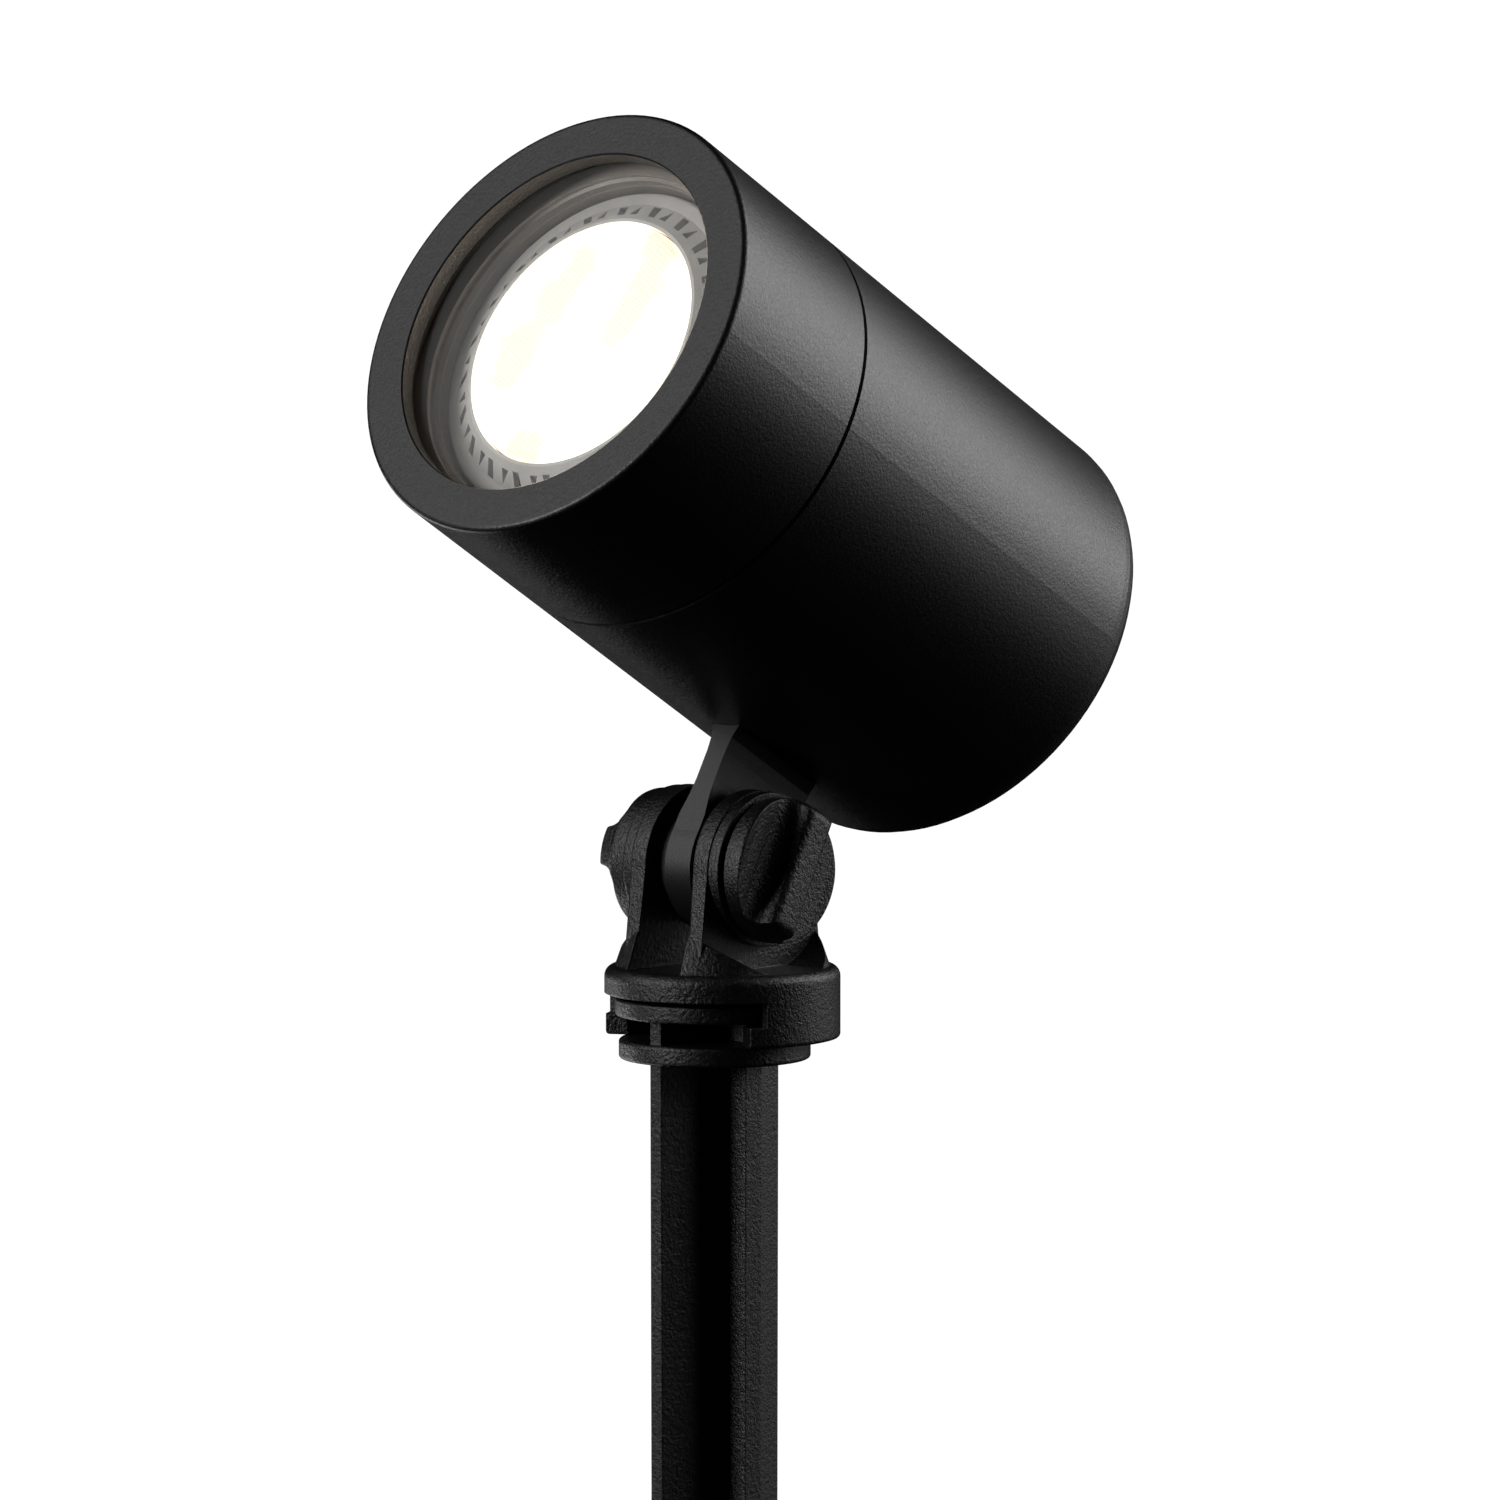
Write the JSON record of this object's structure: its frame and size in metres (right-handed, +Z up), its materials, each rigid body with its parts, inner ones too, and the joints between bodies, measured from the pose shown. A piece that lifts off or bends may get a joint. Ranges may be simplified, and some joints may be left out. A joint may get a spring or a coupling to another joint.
{
  "type": "garden spike spotlight",
  "caption": "Round tube spotlight with a glowing reflector lamp behind glass, on a clamped tilt joint and a knuckle that turns on a ground stake.",
  "frame": {"origin": "on the stake's axis at the underside of its flange, which is the ground line", "axes": "+Z up along the stake, the beam points towards -Y and 30.3 degrees above the horizontal, +X along the tilt bolt"},
  "size_m": [0.065, 0.1159, 0.3527],
  "materials": {
    "moulded_black": "matte",
    "head_coat": "satin",
    "bracket_cast": "satin",
    "black_rubber": "matte",
    "steel": "satin",
    "brass": "satin",
    "gland_plastic": "satin",
    "ceramic": "matte",
    "white_plastic": "satin",
    "brown_lead": "satin",
    "blue_lead": "satin",
    "green_lead": "satin",
    "silicone": "matte",
    "clear_glass": "gloss",
    "sleeve_alloy": "satin",
    "lamp_shell": "satin",
    "lamp_lens": "gloss",
    "led_board": "satin",
    "lamp_sink": "satin"
  },
  "bodies": {
    "stake": {"spike": "moulded_black"},
    "knuckle": {"knuckle": "moulded_black"},
    "clamp": {"pivot_bolt": "steel", "clamp_knob": "moulded_black"},
    "nut": {"nut_knob": "moulded_black", "knob_nut": "brass"},
    "head": {"tilt_washers": "black_rubber", "tilt_bracket": "bracket_cast", "bracket_screws": "steel", "rear_housing": "head_coat", "gland_body": "gland_plastic", "gland_seal": "black_rubber", "gland_cap": "gland_plastic", "gland_locknut": "steel", "holder_plate": "steel", "plate_screws": "steel", "lampholder": "ceramic", "holder_contacts": "brass", "holder_screws": "steel", "terminal_block": "white_plastic", "terminal_screws": "brass", "live_lead": "brown_lead", "neutral_lead": "blue_lead", "earth_lead": "green_lead", "earth_tag": "brass", "earth_screw": "steel", "barrel_seal": "black_rubber", "lamp_bezel": "lamp_shell", "lamp_lens": "lamp_lens", "led_board": "led_board", "lamp_heat_sink": "lamp_sink", "lamp_base": "white_plastic", "lamp_pins": "steel"},
    "barrel": {"front_barrel": "head_coat", "glass_gasket": "silicone", "front_glass": "clear_glass", "glass_sleeve": "sleeve_alloy"}
  },
  "joints": [
    {"name": "head_pan", "type": "hinge", "parent": "stake", "child": "knuckle", "pos_m": [0, 0, 0], "axis": [0, 0, 1], "continuous": true},
    {"name": "head_tilt", "type": "hinge", "parent": "knuckle", "child": "head", "pos_m": [0, 0.0016, 0.027], "axis": [-1, 0, 0], "range_deg": [-90, 50]},
    {"name": "clamp_knob_turn", "type": "hinge", "parent": "knuckle", "child": "clamp", "pos_m": [0, 0.0016, 0.027], "axis": [1, 0, 0], "continuous": true},
    {"name": "nut_knob_turn", "type": "hinge", "parent": "knuckle", "child": "nut", "pos_m": [0, 0.0016, 0.027], "axis": [-1, 0, 0], "continuous": true},
    {"name": "front_barrel_slide", "type": "slide", "parent": "head", "child": "barrel", "axis": [0, -0.8634, 0.5045], "range_m": [0, 0.06]}
  ]
}
